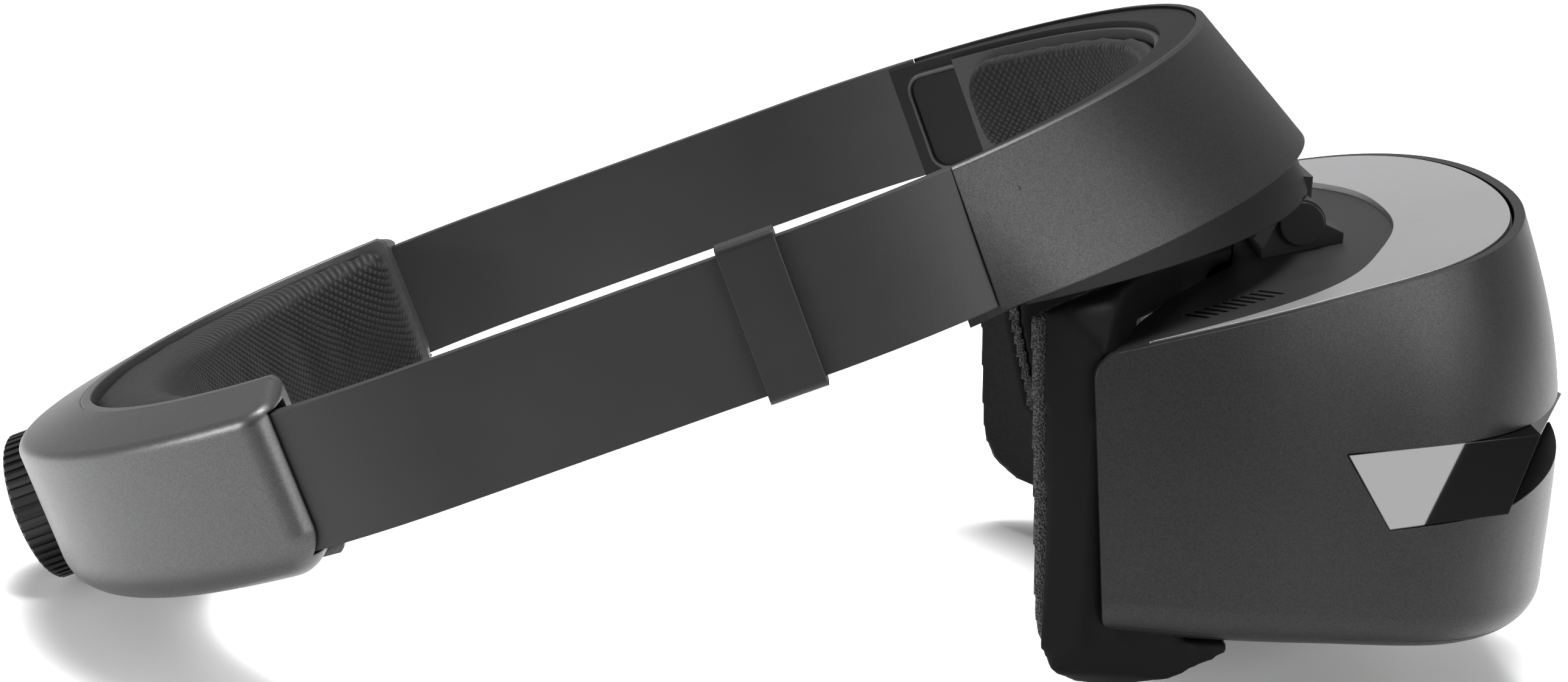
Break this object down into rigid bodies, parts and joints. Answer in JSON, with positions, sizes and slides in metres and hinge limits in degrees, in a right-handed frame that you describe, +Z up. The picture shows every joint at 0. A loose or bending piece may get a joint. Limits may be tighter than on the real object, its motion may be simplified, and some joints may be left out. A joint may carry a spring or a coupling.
{
  "type": "vr headset",
  "caption": "Virtual reality headset with a rigid halo headband, padded forehead rest, size dial at the rear, and a visor that tilts up on a friction hinge.",
  "frame": {"origin": "Middle of the whole headset in plan, on the level of the size dial's lower rim, which is its lowest point.", "axes": "+X is the wearer's left, -Y is the front of the visor, +Z is up. The headband's plane drops 22.7 degrees from front to rear."},
  "size_m": [0.1857, 0.3262, 0.1313],
  "materials": {
    "graphite_paint": "satin graphite paint with fine metallic flake",
    "silver_satin": "satin silver-grey paint",
    "dark_plastic": "fine matte moulding",
    "strap_plastic": "smooth matte",
    "keeper_plastic": "satin",
    "mesh_fabric": "black spacer mesh over foam",
    "screw_steel": "black zinc plated",
    "pin_steel": "ground",
    "acetal": "natural acetal",
    "dial_black": "moulded ribs, matte",
    "window_black": "mirror gloss, dark tint",
    "module_black": "moulded",
    "bracket_aluminium": "stamped",
    "board_green": "solder mask",
    "display_glass": "gloss",
    "lens_clear": "clear moulded lens",
    "gasket_soft": "soft-touch matte",
    "cushion_foam": "open-cell foam edge with a velvety face"
  },
  "bodies": {
    "headband": {"front_band_shell": "graphite_paint", "front_band_liner": "dark_plastic", "lower_skirt": "dark_plastic", "forehead_pad_plate": "dark_plastic", "forehead_pad": "mesh_fabric", "strap_left": "strap_plastic", "strap_right": "strap_plastic", "strap_screws": "screw_steel", "hinge_bracket": "dark_plastic", "bracket_screws": "screw_steel"},
    "keeper": {"cable_keeper": "keeper_plastic"},
    "rear_housing": {"rear_casing": "graphite_paint", "rear_liner": "graphite_paint", "rear_pad": "mesh_fabric", "adjuster_base": "dark_plastic", "adjuster_screws": "screw_steel", "dial_bush": "acetal"},
    "left_rack": {"rack_left": "acetal"},
    "right_rack": {"rack_right": "acetal"},
    "dial": {"size_dial": "dial_black", "dial_pinion": "acetal", "dial_screw": "screw_steel"},
    "visor": {"visor_shell": "graphite_paint", "top_plate": "silver_satin", "top_tray": "dark_plastic", "camera_window": "window_black", "camera_left": "module_black", "camera_right": "module_black", "camera_bracket": "bracket_aluminium", "main_board": "board_green", "display_left": "display_glass", "display_right": "display_glass", "display_carrier": "dark_plastic", "lens_barrel_left": "dark_plastic", "lens_barrel_right": "dark_plastic", "lens_left": "lens_clear", "lens_right": "lens_clear", "inner_frame": "dark_plastic", "face_gasket": "gasket_soft", "face_cushion": "cushion_foam", "nose_flap": "gasket_soft", "sensor_window": "display_glass", "headphone_jack": "module_black", "cable_socket": "module_black", "hinge_base": "dark_plastic", "hinge_pin": "pin_steel", "hinge_caps": "dark_plastic", "friction_washers": "acetal", "visor_screws": "screw_steel"}
  },
  "joints": [
    {"name": "visor_flip", "type": "hinge", "parent": "headband", "child": "visor", "pos_m": [0, -0.1015, 0.09215], "axis": [-1, 0, 0], "range_deg": [0, 65]},
    {"name": "keeper_slide", "type": "slide", "parent": "headband", "child": "keeper", "axis": [0, 0.9225, -0.3859], "range_m": [0, 0.055]},
    {"name": "size_slide", "type": "slide", "parent": "headband", "child": "rear_housing", "axis": [0, 0.9225, -0.3859], "range_m": [0, 0.014]},
    {"name": "dial_turn", "type": "hinge", "parent": "rear_housing", "child": "dial", "pos_m": [0, 0.15704, 0.01482], "axis": [0, 0.9225, -0.3859], "range_deg": [0, 160.4]},
    {"name": "left_rack_slide", "type": "slide", "parent": "rear_housing", "child": "left_rack", "axis": [1, 0, 0], "range_m": [0, 0.014]},
    {"name": "right_rack_slide", "type": "slide", "parent": "rear_housing", "child": "right_rack", "axis": [-1, 0, 0], "range_m": [0, 0.014]}
  ],
  "couplings": [
    {"joint": "dial_turn", "follows": "size_slide", "rad_per_m": 200},
    {"joint": "left_rack_slide", "follows": "size_slide", "ratio": 1},
    {"joint": "right_rack_slide", "follows": "size_slide", "ratio": 1}
  ]
}
